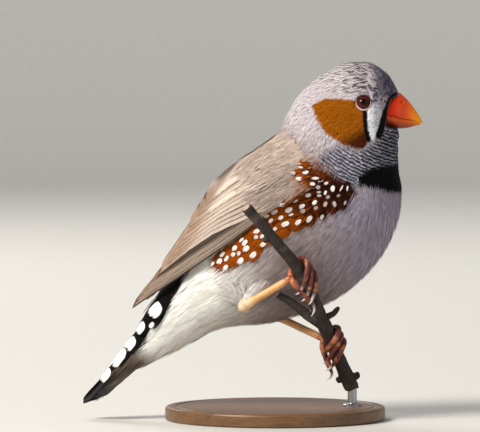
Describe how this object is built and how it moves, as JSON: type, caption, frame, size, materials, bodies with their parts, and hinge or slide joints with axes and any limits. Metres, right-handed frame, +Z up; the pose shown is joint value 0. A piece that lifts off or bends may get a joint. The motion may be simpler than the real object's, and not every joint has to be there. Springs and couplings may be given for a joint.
{
  "type": "zebra finch",
  "caption": "Male zebra finch perched on a cut twig, a life-size still model on a plain round display stand.",
  "frame": {"origin": "middle of the underside of the stand's base", "axes": "+Z up, the bird faces +X, its right side is towards -Y"},
  "size_m": [0.0801, 0.052, 0.0845],
  "materials": {
    "plumage": "soft matt plumage, grey above and white below",
    "wing_feathers": "matt brown-grey flight feathers with pale edges",
    "tail_feathers": "satin black feathers with white bars",
    "bill": "glossy orange-red horn",
    "eyes": "wet gloss, dark red-brown",
    "legs": "orange scaled skin with horn claws",
    "bark": "dark rough twig bark",
    "stand_wood": "satin dark hardwood",
    "stand_steel": "brushed steel rod"
  },
  "bodies": {
    "root": {"torso": "plumage", "neck": "plumage", "head": "plumage", "thigh_right": "plumage", "thigh_left": "plumage", "wing_right": "wing_feathers", "wing_left": "wing_feathers", "tail": "tail_feathers", "bill_upper": "bill", "bill_lower": "bill", "eye_right": "eyes", "eye_left": "eyes", "leg_right": "legs", "leg_left": "legs", "perch": "bark", "stand_base": "stand_wood", "stand_rod": "stand_steel"}
  },
  "joints": []
}
